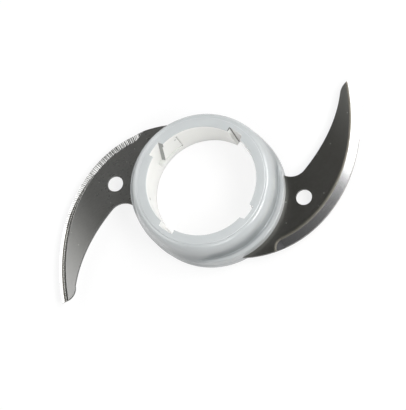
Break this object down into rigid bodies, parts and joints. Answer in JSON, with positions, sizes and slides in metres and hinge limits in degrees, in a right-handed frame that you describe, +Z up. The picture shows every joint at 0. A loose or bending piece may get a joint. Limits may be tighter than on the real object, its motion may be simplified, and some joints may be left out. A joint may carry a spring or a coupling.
{
  "type": "food processor blade",
  "caption": "Flat sickle blades of ground steel moulded into a translucent plastic ring with a wide slotted bore, which drops over a food processor's drive hub.",
  "frame": {"origin": "on the ring's bore axis, at its flat bottom face", "axes": "+Z up along the bore axis; +X towards the tip of the plain blade; the blades turn clockwise seen from above, ground edge first"},
  "size_m": [0.1664, 0.091, 0.0215],
  "materials": {
    "hub_plastic": "smooth translucent moulding",
    "blade_steel": "satin ground steel"
  },
  "bodies": {
    "root": {"hub_ring": "hub_plastic", "first_blade": "blade_steel", "second_blade": "blade_steel"}
  },
  "joints": []
}
